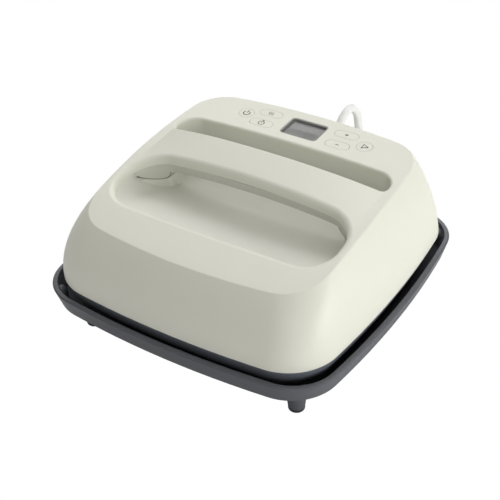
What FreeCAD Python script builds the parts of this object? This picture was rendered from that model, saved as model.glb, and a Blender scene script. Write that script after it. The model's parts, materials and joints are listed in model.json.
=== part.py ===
import FreeCAD, Part
import math
import os
from collections import namedtuple

from FreeCAD import Vector

# Handheld heat press on its safety base. Millimetres, +Z up, floor at z = 0.
# Front is -Y, the press sits centred over the base, and x = 0 is the middle plane.

# ---------------------------------------------------------------- heat plate and skirt
plate_half_width = 114.3
plate_corner_radius = 38.0
plate_thickness = 10.0
plate_edge_chamfer = 1.5
plate_skirt_gap = 5.2
skirt_wall = 3.0
skirt_flare = 12.9
skirt_belly_drop = 11.0
skirt_belly_inset = 3.0
skirt_corner_radius = 44.0
skirt_overlap = 2.0
flange_thickness = 3.0
flange_overlap = 14.3
flange_opening_radius = 26.0
ridge_width = 12.0
ridge_height = 7.0
ridge_root = 1.0
element_cover = 0.3
element_radius = 3.2
element_inset = 22.3
element_inner_run = 46.0
element_bend_radius = 18.0
terminal_spread = 12.0
terminal_radius = 2.5
terminal_height = 12.0
blanket_inset = 16.3
blanket_thickness = 12.0
shield_inset = 6.3
shield_corner_radius = 30.0
shield_thickness = 1.0
standoff_spread = 69.0
standoff_radius = 5.0
plate_screw_radius = 2.0
plate_screw_depth = 7.0
screw_hole_gap = 0.25
screw_head_height = 2.4
screw_head_ratio = 2.0
screw_end_gap = 1.0
boss_inset = 19.7
boss_y = 62.0
boss_radius = 4.5
housing_screw_radius = 1.6
housing_screw_length = 16.0
sensor_width = 8.0
sensor_length = 12.0
sensor_height = 5.0
sensor_y = -20.0
fuse_radius = 2.2
fuse_length = 12.0
fuse_y = 16.0
pocket_gap = 0.5
small_rounding = 1.0

# ---------------------------------------------------------------- safety base
rim_margin = 8.3
rim_corner_radius = 43.5
rim_bow_radius = 860.0
rim_lip_width = 4.2
rim_edge_chamfer = 1.2
rim_overhang = 4.0
band_height = 16.4
pan_depth = 20.6
pan_slope_width = 21.0
pan_corner_radius = 36.0
pan_wall = 3.0
leg_height = 13.0
leg_inset = 36.5
leg_top_radius = 10.6
leg_bottom_radius = 7.0
foot_pad_plug_radius = 4.0
foot_pad_height = 4.0
foot_pad_sunk = 3.0
foot_pad_rounding = 2.4
guide_inset = 23.0
guide_radius = 5.5
guide_drop = 3.5
rest_pad_inset = 30.3
rest_pad_radius = 12.0
rest_pad_height = 8.0

# ---------------------------------------------------------------- housing form
shield_room = 4.0
housing_setback = 1.3
foot_corner_radius = 46.0
foot_bow_radius = 896.0
waist_rise = 40.2
waist_tilt = 3.94
waist_side_lean = 7.0
waist_front_lean = 9.2
waist_rear_lean = 15.9
waist_corner_radius = 40.0
waist_widest_y = -8.2
crest_rise = 73.0
crest_tilt = 7.16
crest_side_lean = 22.3
crest_front_lean = 32.8
crest_rear_lean = 28.2
crest_widest_y = -7.0
crest_side_radius = 540.0
crest_front_radius = 633.0
crest_rear_radius = 496.0
crest_corner_radius = 36.0
panel_rise = 77.2
panel_setback = 23.5
panel_tilt = 3.03
crown_start_y = 54.0
crown_radius = 950.0
housing_wall = 3.0
crease_radius = 1.6

# ---------------------------------------------------------------- hand well and handle
well_side_margin = 7.4
well_side_radius = 3000.0
well_front_margin = 31.9
well_front_radius = 4000.0
well_rear = 61.0
well_rear_radius = 1280.0
pocket_front_corner = 26.0
pocket_rear_corner = 30.0
pocket_edge_radius = 5.0
slot_rear_corner = 18.0
slot_front_corner = 7.0
slot_edge_radius = 2.2
handle_front = -7.7
handle_front_radius = 4000.0
handle_rear = 25.0
handle_rear_radius = 676.0
arch_rise = 8.0
arch_rise_per_y = 0.17
arch_front = -42.5
arch_rear = 41.0
arch_end_inset = 0.6
lip_depth = 8.0
lip_wall = 2.5
well_depth = 47.2
well_floor_radius = 50.0
well_floor_y = 20.0
well_slope_rise = 19.0
well_floor_fillet = 14.0
grip_inset = 0.4
grip_gap = 0.15
grip_height = 13.8
grip_lean = 18.0
grip_edge_radius = 4.0
grip_end_inset = 11.5
grip_end_drop = 14.5
grip_end_radius = 11.0
seam_width = 0.4
passage_margin = 19.0
haunch_edge_radius = 5.0

# ---------------------------------------------------------------- controls
round_key_radius = 7.2
round_key_x = 61.0
pill_length = 23.0
pill_width = 10.4
left_pill_x = 40.0
right_pill_x = 38.4
upper_pill_v = 9.2
lower_pill_v = -8.4
key_gap = 0.3
key_travel = 0.6
key_flange_width = 1.2
key_flange_thickness = 1.0
key_stem_radius = 2.0
switch_width = 6.0
switch_height = 3.5
plunger_radius = 1.7
plunger_gap = 0.1
plunger_height = 2.1
plunger_proud = 1.0
board_drop = 12.0
board_half_width = 84.0
board_front_v = -17.0
board_rear_v = 14.0
board_thickness = 1.6
board_corner = 2.0
board_boss_radius = 3.0
board_boss_x = 78.0
board_boss_v = 9.5
board_screw_radius = 1.2
board_screw_length = 6.0
switch_chamfer = 0.5
display_width = 37.7
display_height = 27.5
display_corner = 4.0
bezel_wall = 1.0
bezel_drop = 0.4
bezel_flange = 1.6
window_drop = 1.4
window_thickness = 1.2
window_ledge = 1.0
module_margin = 1.5

# ---------------------------------------------------------------- power board
power_board_half_width = 62.0
power_board_front = -30.0
power_board_rear = 42.0
power_boss_length = 12.5
power_boss_radius = 3.5
power_boss_x = 56.0
power_boss_inset = 6.0
relay_size = Vector(19.0, 15.5, 12.0)
capacitor_radius = 5.0
capacitor_height = 12.0
terminal_block_size = Vector(22.0, 10.0, 11.0)
relay_place = Vector(-30.0, 0.0, 0.0)
terminal_block_place = Vector(10.0, 26.0, 0.0)
capacitor_first_x = 6.0
capacitor_pitch = 14.0
capacitor_count = 3
capacitor_y = -12.0

# ---------------------------------------------------------------- mains lead
cord_diameter = 7.5
boot_root = Vector(9.0, 123.8, 105.8)
boot_inside = 13.0
boot_root_radius = 6.6
boot_tip_radius = 4.4
boot_hole_gap = 0.2
cord_lie = 3.9
coil_centre = Vector(-69.0, 198.0, 0.0)
coil_outer_turn = 48.7
coil_turns_each_layer = 2.5
coil_pitch = 7.7
coil_layer_rise = 7.6
coil_edge_radius = 3.5
coil_lead = 28.0
plug_lead = 36.0
plug_boot_length = 16.0
plug_boot_wall = 0.8
plug_body_length = 36.0
plug_body_width = 27.0
plug_corner = 6.0
blade_length = 17.0
blade_width = 6.3
blade_thickness = 1.5
blade_spacing = 12.7
earth_pin_length = 20.0
earth_pin_radius = 2.4
earth_pin_offset = 5.0
blade_offset = 4.0

# The lead's free stretch, from the strain relief down to the floor and along to the coil.
lead_route = [
    Vector(9.0, 132.8, 114.9),
    Vector(9.0, 142.7, 124.8),
    Vector(9.0, 159.3, 124.8),
    Vector(9.0, 171.0, 113.1),
    Vector(9.5, 173.5, 95.0),
    Vector(12.0, 175.0, 72.0),
    Vector(16.0, 181.0, 48.0),
    Vector(20.0, 191.5, 28.0),
    Vector(19.5, 213.0, 12.5),
    Vector(5.5, 233.5, cord_lie),
    Vector(-17.0, coil_centre.y + coil_outer_turn, cord_lie),
    Vector(coil_centre.x + coil_lead, coil_centre.y + coil_outer_turn, cord_lie),
]

# ---------------------------------------------------------------- worked out from the above
pan_floor_top = leg_height + pan_wall
plate_bottom = pan_floor_top + rest_pad_height
plate_top = plate_bottom + plate_thickness
ridge_top = plate_top + ridge_height
skirt_bottom = plate_top - skirt_overlap
flange_top = ridge_top + blanket_thickness
housing_bottom = flange_top + shield_room
waist_height = housing_bottom + waist_rise
crest_height = housing_bottom + crest_rise
panel_height = housing_bottom + panel_rise
band_bottom = leg_height + pan_depth
rim_top = band_bottom + band_height
guide_top = rim_top - guide_drop
well_bottom = panel_height - well_depth
power_board_top = well_bottom - lip_wall - power_boss_length

skirt_bottom_half_width = plate_half_width + plate_skirt_gap + skirt_wall
skirt_top_half_width = skirt_bottom_half_width + skirt_flare
foot_half_width = skirt_top_half_width + housing_setback
rim_half_width = foot_half_width + rim_margin
band_half_width = rim_half_width - rim_overhang
pan_half_width = band_half_width - pan_slope_width
waist_half_width = foot_half_width - waist_side_lean
crest_half_width = foot_half_width - crest_side_lean
crest_front = foot_half_width - crest_front_lean
crest_rear = foot_half_width - crest_rear_lean
panel_y = crest_rear - panel_setback
well_half_width = crest_half_width - well_side_margin
well_front = crest_front - well_front_margin
leg_spread = band_half_width - leg_inset
guide_spread = rim_half_width - guide_inset
rest_pad_spread = plate_half_width - rest_pad_inset
flange_opening = plate_half_width - flange_overlap
element_outer_run = plate_half_width - element_inset
blanket_half_width = plate_half_width - blanket_inset
shield_half_width = plate_half_width - shield_inset
boss_x = foot_half_width - boss_inset

reach = 200.0
tolerance = 0.01
shortest_run = 1e-6
bend_share = 0.45
edge_search = 1.0
rim_search = 0.3
crown_search = 0.02
arch_half_span = well_half_width - arch_end_inset
passage_half_width = well_half_width - passage_margin
cord_radius = cord_diameter / 2
panel_sin = math.sin(math.radians(panel_tilt))
panel_cos = math.cos(math.radians(panel_tilt))
crown_start_z = panel_height + (crown_start_y - panel_y) * panel_sin / panel_cos
crown_centre_y = crown_start_y + crown_radius * panel_sin
crown_centre_z = crown_start_z - crown_radius * panel_cos
well_floor_z = well_bottom + well_floor_radius
well_slope_start = well_bottom + well_slope_rise
upper_turn_z = cord_lie + coil_layer_rise
element_axis_z = ridge_top - element_radius - element_cover
element_end_x = terminal_spread - element_radius
ridge_end_x = terminal_spread - ridge_width / 2
switch_top_v = -board_drop + switch_height
plunger_top_v = switch_top_v + plunger_proud
room_low = well_bottom - lip_wall
room_high = panel_height - lip_depth
room_undercut = (room_high - room_low) * math.tan(math.radians(grip_lean))
grip_end_z = room_high - grip_end_drop

Plan = namedtuple(
    "Plan",
    "half_width front rear side_radius front_radius rear_radius front_corner rear_corner widest_y",
)


def square_plan(half_width, bow_radius, corner):
    """A plan whose four sides are alike."""
    return Plan(
        half_width, half_width, half_width, bow_radius, bow_radius, bow_radius, corner, corner, 0.0
    )


rim_plan = square_plan(rim_half_width, rim_bow_radius, rim_corner_radius)
band_plan = square_plan(band_half_width, rim_bow_radius, rim_corner_radius)
pan_plan = square_plan(pan_half_width, rim_bow_radius, pan_corner_radius)
foot_plan = square_plan(foot_half_width, foot_bow_radius, foot_corner_radius)
waist_plan = Plan(
    waist_half_width, foot_half_width - waist_front_lean, foot_half_width - waist_rear_lean,
    foot_bow_radius, foot_bow_radius, foot_bow_radius,
    waist_corner_radius, waist_corner_radius, waist_widest_y
)
crest_plan = Plan(
    crest_half_width, crest_front, crest_rear, crest_side_radius, crest_front_radius,
    crest_rear_radius, crest_corner_radius, crest_corner_radius, crest_widest_y
)
well_plan = Plan(
    well_half_width, well_front, well_rear, well_side_radius, well_front_radius,
    well_rear_radius, pocket_front_corner, slot_rear_corner, 0.0
)
pocket_plan = well_plan._replace(
    rear=handle_front, rear_radius=handle_front_radius, rear_corner=pocket_rear_corner
)
slot_plan = well_plan._replace(
    front=-handle_rear, front_radius=handle_rear_radius, front_corner=slot_front_corner
)
pocket_low_plan = pocket_plan._replace(rear=handle_front + room_undercut)
slot_low_plan = slot_plan._replace(front=room_undercut - handle_rear)
skirt_top_plan = square_plan(skirt_top_half_width, foot_bow_radius, skirt_corner_radius)
skirt_belly_plan = square_plan(
    skirt_top_half_width - skirt_belly_inset, foot_bow_radius, skirt_corner_radius
)
skirt_bottom_plan = square_plan(skirt_bottom_half_width, foot_bow_radius, skirt_corner_radius)


# ---------------------------------------------------------------- shared shapes
def arc_about(centre, start, end):
    """Arc of less than half a turn about a centre."""
    spread = (start - centre) + (end - centre)
    middle = centre + spread * ((start - centre).Length / spread.Length)
    return Part.Arc(start, middle, end).toShape()


def circle_crossing(centre_a, radius_a, centre_b, radius_b, toward):
    """The crossing of two circles in a level plane that lies furthest along toward."""
    line = centre_b - centre_a
    along = (line.Length ** 2 + radius_a ** 2 - radius_b ** 2) / (2 * line.Length)
    across = math.sqrt(radius_a ** 2 - along ** 2)
    unit = line * (1 / line.Length)
    normal = Vector(-unit.y, unit.x, 0)
    crossings = [centre_a + unit * along + normal * (across * side) for side in (-1, 1)]
    return max(crossings, key=lambda point: point.dot(toward))


def plan_outline(plan, z=0.0, grow=0.0):
    """Level outline of four bowed sides joined by tangent corner arcs."""
    side_radius = plan.side_radius + grow
    end_radii = {-1: plan.front_radius + grow, 1: plan.rear_radius + grow}
    end_reach = {-1: -(plan.front + grow), 1: plan.rear + grow}
    corners = {-1: plan.front_corner + grow, 1: plan.rear_corner + grow}
    side_centres = {
        s: Vector(s * (plan.half_width + grow - side_radius), plan.widest_y, z) for s in (-1, 1)
    }
    end_centres = {e: Vector(0, end_reach[e] - e * end_radii[e], z) for e in (-1, 1)}
    arcs = []
    meets = []
    for side, end in ((1, -1), (1, 1), (-1, 1), (-1, -1)):
        corner = corners[end]
        centre = circle_crossing(
            side_centres[side], side_radius - corner,
            end_centres[end], end_radii[end] - corner, Vector(side, end, 0)
        )
        on_side = centre + (centre - side_centres[side]) * (corner / (side_radius - corner))
        on_end = centre + (centre - end_centres[end]) * (corner / (end_radii[end] - corner))
        meets.append((centre, on_side, on_end))
    for index, (side, end) in enumerate(((1, -1), (1, 1), (-1, 1), (-1, -1))):
        centre, on_side, on_end = meets[index]
        following = meets[(index + 1) % 4]
        if side == -end:
            arcs.append(arc_about(centre, on_end, on_side))
            arcs.append(arc_about(side_centres[side], on_side, following[1]))
        else:
            arcs.append(arc_about(centre, on_side, on_end))
            arcs.append(arc_about(end_centres[end], on_end, following[2]))
    return Part.Wire(arcs)


def plan_prism(plan, low, high, grow=0.0):
    """Upright solid on a plan."""
    return Part.Face(plan_outline(plan, low, grow)).extrude(Vector(0, 0, high - low))


def plan_loft(sections, ruled=True, grow=0.0):
    """Solid through plans at given heights, tilted about the x direction."""
    wires = []
    for plan, height, tilt in sections:
        wire = plan_outline(plan, height, grow)
        wire.rotate(Vector(0, 0, height), Vector(1, 0, 0), tilt)
        wires.append(wire)
    return Part.makeLoft(wires, True, ruled)


def upright(radius, low, high, x=0.0, y=0.0):
    """Round upright bar."""
    return Part.makeCylinder(radius, high - low, Vector(x, y, low))


def block(half_width, front, rear, low, high, x=0.0):
    """Square-cornered block, centred on x."""
    return Part.makeBox(2 * half_width, rear - front, high - low, Vector(x - half_width, front, low))


def rounded_block(half_x, half_y, corner, low, high):
    """Upright block with round corners, centred on the z axis."""
    solid = block(half_x, -half_y, half_y, low, high)
    return solid.makeFillet(corner, [e for e in solid.Edges if is_upright(e)])


def is_upright(edge):
    """True for a straight edge along z."""
    first, last = edge.Vertexes[0].Point, edge.Vertexes[-1].Point
    level = Vector(last.x, last.y, first.z)
    return abs(first.z - last.z) > tolerance and first.distanceToPoint(level) < tolerance


def four_corners(spread_x, spread_y):
    """The four places at plus and minus two spreads."""
    return [(sx * spread_x, sy * spread_y) for sx in (-1, 1) for sy in (-1, 1)]


def joined(shapes):
    """One solid from several that overlap or touch."""
    whole = shapes[0].fuse(shapes[1:])
    return whole.removeSplitter()


def on_panel(shape):
    """Carry a shape drawn about the panel's middle onto the sloped control panel."""
    placed = shape.copy()
    placed.rotate(Vector(0, 0, 0), Vector(1, 0, 0), panel_tilt)
    placed.translate(Vector(0, panel_y, panel_height))
    return placed


def crown_point(y, drop=0.0):
    """A point on the curved part of the crown, lowered square to the surface by a drop."""
    radius = crown_radius - drop
    return Vector(0, y, crown_centre_z + math.sqrt(radius ** 2 - (y - crown_centre_y) ** 2))


def under_crown(drop):
    """Everything below the crown surface, lowered by a drop: level panel run, then a long arc."""
    start = crown_point(crown_start_y + drop * panel_sin, drop)
    rear = start + Vector(0, panel_cos, panel_sin) * reach
    front = crown_point(-reach, drop)
    arc = Part.Arc(start, crown_point(-reach / 3, drop), front).toShape()
    low_front = Vector(0, front.y, 0)
    low_rear = Vector(0, rear.y, 0)
    edges = [Part.makeLine(rear, start), arc, Part.makeLine(front, low_front),
             Part.makeLine(low_front, low_rear), Part.makeLine(low_rear, rear)]
    profile = Part.Face(Part.Wire(edges))
    profile.translate(Vector(-reach, 0, 0))
    return profile.extrude(Vector(2 * reach, 0, 0))


def write(name, shape):
    """Write one sub-part."""
    shape.exportStep(os.path.join("parts", name + ".step"))


# ---------------------------------------------------------------- safety base
def tray_outside():
    """Closed outer form of the tray: pan, rim band and a bevelled rim edge."""
    bevel_plan = square_plan(
        rim_half_width - rim_edge_chamfer, rim_bow_radius, rim_corner_radius - rim_edge_chamfer
    )
    return plan_loft([
        (pan_plan, leg_height, 0), (band_plan, band_bottom, 0),
        (rim_plan, rim_top - rim_edge_chamfer, 0), (bevel_plan, rim_top, 0)
    ])


def base_tray():
    """Dark tray with a thick rim band, a sloping pan, four legs and four corner guides."""
    hollow = plan_loft(
        [(pan_plan, pan_floor_top, 0), (band_plan, band_bottom, 0), (rim_plan, rim_top, 0)],
        grow=-rim_lip_width
    )
    tray = tray_outside().cut(hollow)
    for x, y in four_corners(leg_spread, leg_spread):
        leg = Part.makeCone(
            leg_bottom_radius, leg_top_radius, band_bottom - foot_pad_height,
            Vector(x, y, foot_pad_height)
        )
        socket = upright(foot_pad_plug_radius, 0, foot_pad_height + foot_pad_sunk, x, y)
        tray = tray.fuse(leg.cut(hollow)).cut(socket)
    for x, y in four_corners(guide_spread, guide_spread):
        tray = tray.fuse(corner_guide(x, y))
    return tray.removeSplitter()


def corner_guide(x, y):
    """Round-topped post that steers a corner of the press into the tray."""
    shaft = upright(guide_radius, pan_floor_top, guide_top - guide_radius, x, y)
    dome = Part.makeSphere(guide_radius, Vector(x, y, guide_top - guide_radius))
    return shaft.fuse(dome).common(tray_outside())


def foot_pads():
    """Rubber tips pressed into the ends of the legs."""
    pads = []
    for x, y in four_corners(leg_spread, leg_spread):
        plug = upright(foot_pad_plug_radius, 0, foot_pad_height + foot_pad_sunk, x, y)
        tip = upright(leg_bottom_radius, 0, foot_pad_height, x, y)
        tip_edges = [e for e in tip.Edges if e.Vertexes[0].Z < tolerance]
        pads.append(tip.makeFillet(foot_pad_rounding, tip_edges).fuse(plug).removeSplitter())
    return Part.makeCompound(pads)


def rest_pads():
    """Silicone pads that the hot plate rests on."""
    pads = []
    for x, y in four_corners(rest_pad_spread, rest_pad_spread):
        pad = upright(rest_pad_radius, pan_floor_top, plate_bottom, x, y)
        top_edges = [e for e in pad.Edges if min(v.Z for v in e.Vertexes) > plate_bottom - tolerance]
        pads.append(pad.makeChamfer(small_rounding, top_edges))
    return Part.makeCompound(pads)


# ---------------------------------------------------------------- housing
def housing_form(inset):
    """Closed form of the housing, drawn in by an inset: leaning bowed walls under a long crown."""
    walls = plan_loft(
        [(foot_plan, housing_bottom, 0), (waist_plan, waist_height, waist_tilt),
         (crest_plan, crest_height, crest_tilt)],
        ruled=False, grow=-inset
    )
    return walls.common(under_crown(inset))


def arch_lift(x, y):
    """How far the handle's top face stands above the crown."""
    return (arch_rise + arch_rise_per_y * y) * (1 - (x / arch_half_span) ** 2)


def arch_block(drop, low):
    """Block under the handle's arched top face, which meets the crown at both sides of the well."""
    wires = []
    for x in (-arch_half_span, 0, arch_half_span):
        tops = [
            crown_point(y) + Vector(x, 0, arch_lift(x, y) - drop) for y in (arch_rear, 0, arch_front)
        ]
        arc = Part.Arc(tops[0], tops[1], tops[2]).toShape()
        front_low = Vector(x, arch_front, low)
        rear_low = Vector(x, arch_rear, low)
        wires.append(Part.Wire([
            arc, Part.makeLine(tops[2], front_low),
            Part.makeLine(front_low, rear_low), Part.makeLine(rear_low, tops[0])
        ]))
    return Part.makeLoft(wires, True, False)


def well_floor_form(drop):
    """Everything above the well's floor: a long slope from the front, then a round trough."""
    radius = well_floor_radius + drop
    tilt = math.atan2(well_floor_z - well_slope_start, well_floor_y + well_front)
    distance = math.hypot(well_floor_z - well_slope_start, well_floor_y + well_front)
    fall = math.asin(well_floor_radius / distance) - tilt
    tangent = Vector(0, well_floor_y - radius * math.sin(fall), well_floor_z - radius * math.cos(fall))
    front = tangent + Vector(0, -math.cos(fall), math.sin(fall)) * reach
    bottom = Vector(0, well_floor_y, well_floor_z - radius)
    rear = Vector(0, well_floor_y + radius, well_floor_z)
    high_rear = Vector(0, rear.y, rear.z + reach)
    high_front = Vector(0, front.y, high_rear.z)
    edges = [Part.makeLine(front, tangent), Part.Arc(tangent, bottom, rear).toShape(),
             Part.makeLine(rear, high_rear), Part.makeLine(high_rear, high_front),
             Part.makeLine(high_front, front)]
    profile = Part.Face(Part.Wire(edges))
    profile.translate(Vector(-reach, 0, 0))
    return profile.extrude(Vector(2 * reach, 0, 0))


def well_form(grow):
    """The hollow that the hand goes into, grown outward for the wall around it."""
    upright_walls = plan_prism(well_plan, 0, panel_height, grow)
    hollow = upright_walls.common(well_floor_form(grow))
    floor_edges = [e for e in hollow.Edges if is_floor_edge(e)]
    return hollow.makeFillet(well_floor_fillet + grow, floor_edges)


def is_floor_edge(edge):
    """True for the edges where the well's walls meet its floor."""
    box = edge.BoundBox
    return box.ZMax < panel_height - 1 and not is_upright(edge)


def opening_prism(plan):
    """Upright cutter for one of the two openings."""
    return plan_prism(plan, 0, 2 * panel_height)


def handle_arch():
    """Top half of the handle: a strip between the two openings that arches above the crown."""
    low = crown_point(arch_front).z - lip_depth
    strip = arch_block(0, low).cut([opening_prism(pocket_plan), opening_prism(slot_plan)])
    edges = [e for e in strip.Edges if is_arch_edge(e)]
    strip = strip.makeFillet(pocket_edge_radius, [e for e in edges if is_pocket_side(e)])
    edges = [e for e in strip.Edges if is_arch_edge(e)]
    strip = strip.makeFillet(slot_edge_radius, [e for e in edges if not is_pocket_side(e)])
    return strip.cut(arch_block(lip_depth, 0))


def middle_of(edge):
    """The point halfway along an edge."""
    return edge.valueAt((edge.FirstParameter + edge.LastParameter) / 2)


def is_arch_edge(edge):
    """True for the front and rear top edges of the handle's strip."""
    middle = middle_of(edge)
    level = crown_point(middle.y).z + arch_lift(middle.x, middle.y)
    along = abs(abs(middle.x) - arch_half_span) > tolerance
    return along and abs(middle.z - level) < edge_search


def is_pocket_side(edge):
    """True for an edge in front of the handle's middle line."""
    return middle_of(edge).y < (handle_front + handle_rear) / 2


def housing_shell():
    """Hollow shell under the crown, with the two openings and the lip that hangs round them."""
    form = housing_form(0)
    form = form.makeFillet(crease_radius, [e for e in form.Edges if is_crease(e)])
    lip = plan_prism(well_plan, 0, 2 * panel_height, lip_wall).cut(under_crown(lip_depth))
    shell = form.cut(housing_form(housing_wall).cut(lip))
    shell = shell.cut([opening_prism(pocket_plan), opening_prism(slot_plan)])
    rims = [e for e in shell.Edges if is_opening_rim(e)]
    shell = shell.makeFillet(pocket_edge_radius, [e for e in rims if is_pocket_side(e)])
    rims = [e for e in shell.Edges if is_opening_rim(e)]
    return shell.makeFillet(slot_edge_radius, [e for e in rims if not is_pocket_side(e)])


def top_housing():
    """Pale outer shell: leaning walls, long crown, handle arch and the two openings beside it."""
    under_arch = arch_block(lip_depth, housing_bottom).common(opening_prism(well_plan))
    shell = housing_shell().cut(under_arch).fuse(handle_arch())
    walls = housing_form(housing_wall / 2)
    for x, y in housing_boss_places():
        boss = upright(boss_radius, flange_top, panel_height, x, y).common(walls)
        hole = upright(housing_screw_radius, flange_top, flange_top + housing_screw_length, x, y)
        shell = shell.fuse(boss).cut(hole)
    for x, v in four_corners(board_boss_x, board_boss_v):
        boss = on_panel(upright(board_boss_radius, -board_drop, -housing_wall / 2, x, v))
        hole = on_panel(upright(board_screw_radius, -board_drop, -board_drop + board_screw_length, x, v))
        shell = shell.fuse(boss).cut(hole)
    shell = shell.cut(on_panel(display_hole()))
    for hole in key_holes():
        shell = shell.cut(on_panel(hole))
    return shell.cut(boot_bore(boot_hole_gap))


def is_crease(edge):
    """True for the edges where the crown meets the walls."""
    ends = [middle_of(edge)] + [v.Point for v in edge.Vertexes]
    return all(on_crown(point) for point in ends)


def on_crown(point, margin=crown_search):
    """True for a point that lies on the crown surface, within a margin."""
    if point.y > crown_start_y:
        level = panel_height + (point.y - panel_y) * panel_sin / panel_cos
    else:
        level = crown_point(point.y).z
    return abs(point.z - level) < margin


def is_opening_rim(edge):
    """True for the top edges of the pocket, the slot and the handle between them."""
    middle = middle_of(edge)
    across = abs(middle.x) < well_half_width + rim_search
    inside = across and -well_front - rim_search < middle.y < well_rear + rim_search
    return inside and on_crown(middle, rim_search)


def housing_boss_places():
    """Screw places along both sides."""
    return four_corners(boss_x, boss_y) + [(-boss_x, 0.0), (boss_x, 0.0)]


def finger_room(plan, low_plan):
    """Room beside the handle: upright at the lip, then leaning in under the handle."""
    under = plan_loft([(low_plan, room_low, 0), (plan, room_high, 0)], grow=grip_inset)
    return under.fuse(plan_prism(plan, room_high, 2 * panel_height, grip_inset))


def between_openings(grow):
    """All that stands between the pocket and the slot, up to the underside of the arch."""
    strip = arch_block(lip_depth, 0).common(well_form(grow))
    return strip.cut([finger_room(pocket_plan, pocket_low_plan), finger_room(slot_plan, slot_low_plan)])


def grip_envelope(gap):
    """Level bar under the arch with a round-bottomed lobe at each end, grown by a gap."""
    bar = arch_block(0, 0).cut(arch_block(lip_depth + grip_height + gap, 0))
    lobes = []
    for x in (-well_half_width + grip_end_inset, well_half_width - grip_end_inset):
        lobes.append(Part.makeCylinder(
            grip_end_radius + gap, 2 * reach,
            Vector(x, -reach, grip_end_z), Vector(0, 1, 0)
        ))
    return bar.fuse(lobes)


def haunches():
    """The bowl's own walls below the grip's ends, with a free passage between them."""
    strip = between_openings(lip_wall / 2).cut(grip_envelope(seam_width))
    columns = strip.cut(block(passage_half_width, -reach, reach, 0, 2 * panel_height))
    edges = [e for e in columns.Edges if is_haunch_edge(e)]
    return columns.makeFillet(haunch_edge_radius, edges)


def is_haunch_edge(edge):
    """True for the rising edges beside the passage."""
    box = edge.BoundBox
    beside = abs(abs(middle_of(edge).x) - passage_half_width) < tolerance
    return beside and box.ZLength > box.YLength


def pocket_liner():
    """Scooped bowl under the handle, from the lip of the pocket to the lip of the slot."""
    bowl = well_form(lip_wall).cut(well_form(0)).common(under_crown(lip_depth))
    bowl = bowl.fuse(haunches().Solids)
    for x, y in power_boss_places():
        boss = upright(power_boss_radius, power_board_top, panel_height, x, y)
        hole = upright(board_screw_radius, power_board_top, power_board_top + board_screw_length, x, y)
        bowl = bowl.fuse(boss.cut(well_form(lip_wall / 2))).cut(hole)
    return bowl


def power_boss_places():
    """Where the power board hangs from the bowl."""
    rows = (power_board_front + power_boss_inset, power_board_rear - power_boss_inset)
    return [(x, y) for x in (-power_boss_x, power_boss_x) for y in rows]


def handle_grip():
    """Under half of the handle: a bar whose faces lean in, with a round lobe at each end."""
    grip = between_openings(-grip_gap).common(grip_envelope(0))
    return grip.makeFillet(grip_edge_radius, [e for e in grip.Edges if is_grip_edge(e)])


def is_grip_edge(edge):
    """True for the two long under edges of the bar."""
    middle = middle_of(edge)
    level = crown_point(middle.y).z + arch_lift(middle.x, middle.y) - lip_depth - grip_height
    return abs(middle.z - level) < edge_search and edge.BoundBox.XLength > passage_half_width


# ---------------------------------------------------------------- skirt and heater stack
def lower_skirt():
    """Dark ring under the housing: nearly upright at its top, curving in to the plate, flanged inside."""
    ring_sections = [
        (skirt_bottom_plan, skirt_bottom, 0),
        (skirt_belly_plan, housing_bottom - skirt_belly_drop, 0),
        (skirt_top_plan, housing_bottom, 0),
    ]
    outer = plan_loft(ring_sections, ruled=False)
    hollow = plan_loft(ring_sections, ruled=False, grow=-skirt_wall)
    keep = block(reach, -reach, reach, flange_top - flange_thickness, flange_top)
    opening = rounded_block(flange_opening, flange_opening, flange_opening_radius, 0, housing_bottom)
    ring = outer.cut(hollow.cut(keep.cut(opening)))
    for x, y in housing_boss_places():
        clear = upright(housing_screw_radius + screw_hole_gap, 0, housing_bottom, x, y)
        ring = ring.cut(clear)
    return ring


def winding_path(end_x, z):
    """Level winding run over the plate, with its two ends at the rear."""
    outer = element_outer_run
    inner = element_inner_run
    turns = [
        (-end_x, outer), (-outer, outer), (-outer, -outer), (-inner, -outer), (-inner, inner),
        (inner, inner), (inner, -outer), (outer, -outer), (outer, outer), (end_x, outer)
    ]
    points = [Vector(x, y, z) for x, y in turns]
    return rounded_path(points, [element_bend_radius] * (len(points) - 2))


def rounded_path(points, radii):
    """Straight runs joined by tangent arcs at the inner points."""
    edges = []
    start = points[0]
    for before, corner, after, radius in zip(points, points[1:], points[2:], radii):
        incoming = (corner - before) * (1 / (corner - before).Length)
        outgoing = (after - corner) * (1 / (after - corner).Length)
        half_turn = incoming.getAngle(outgoing) / 2
        setback = radius * math.tan(half_turn)
        arc_start = corner - incoming * setback
        arc_end = corner + outgoing * setback
        inward = outgoing - incoming
        inward = inward * (1 / inward.Length)
        arc_middle = corner + inward * (radius / math.cos(half_turn) - radius)
        if (arc_start - start).Length > shortest_run:
            edges.append(Part.LineSegment(start, arc_start).toShape())
        edges.append(Part.Arc(arc_start, arc_middle, arc_end).toShape())
        start = arc_end
    edges.append(Part.LineSegment(start, points[-1]).toShape())
    return Part.Wire(edges)


def tube_along(path, radius):
    """Round solid swept along a path."""
    first = path.Edges[0]
    start = path.Vertexes[0].Point
    direction = first.tangentAt(first.FirstParameter)
    section = Part.Wire([Part.makeCircle(radius, start, direction)])
    return path.makePipeShell([section], True, True)


def winding_bar(end_x, width, low, high):
    """Bar of rectangular section that follows the winding run."""
    path = winding_path(end_x, low)
    start = path.Vertexes[0].Point
    corners = [start + Vector(0, side * width / 2, height) for side, height in
               ((-1, 0), (1, 0), (1, high - low), (-1, high - low))]
    section = Part.makePolygon(corners + corners[:1])
    return path.makePipeShell([section], True, True)


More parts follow.
